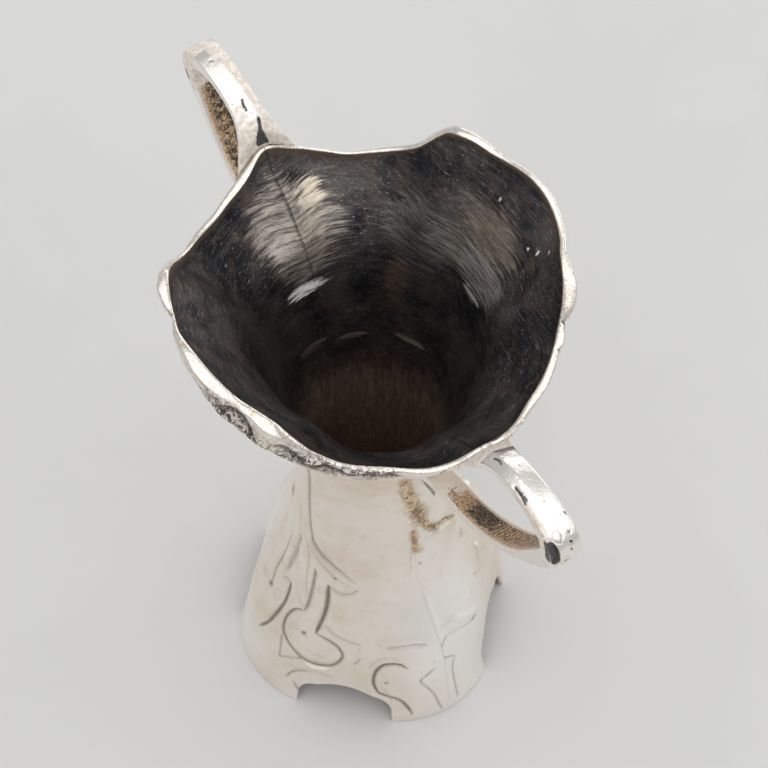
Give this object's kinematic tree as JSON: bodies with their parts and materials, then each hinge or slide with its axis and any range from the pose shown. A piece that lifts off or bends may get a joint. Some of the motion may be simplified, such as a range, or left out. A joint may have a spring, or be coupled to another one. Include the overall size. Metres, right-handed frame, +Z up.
{
  "type": "two-handled silver jug",
  "caption": "Footed silver jug or vase with a wide wavy mouth, a waisted neck, an arched four-footed base and a strap handle on each side.",
  "frame": {"origin": "centre of the base, on the table plane", "axes": "+Z up, the two handles along X, the middle of each stamped half along Y"},
  "size_m": [0.1306, 0.072, 0.1324],
  "materials": {
    "body_silver": "worn silver, satin outside with dark oxidised grooves, blackened inside",
    "disc_silver": "tarnished brown silver",
    "handle_silver": "polished cast silver, dark and pitted on the inner faces"
  },
  "bodies": {
    "root": {"body_front_half": "body_silver", "body_back_half": "body_silver", "base_disc": "disc_silver", "handle_left": "handle_silver", "handle_right": "handle_silver"}
  },
  "joints": []
}
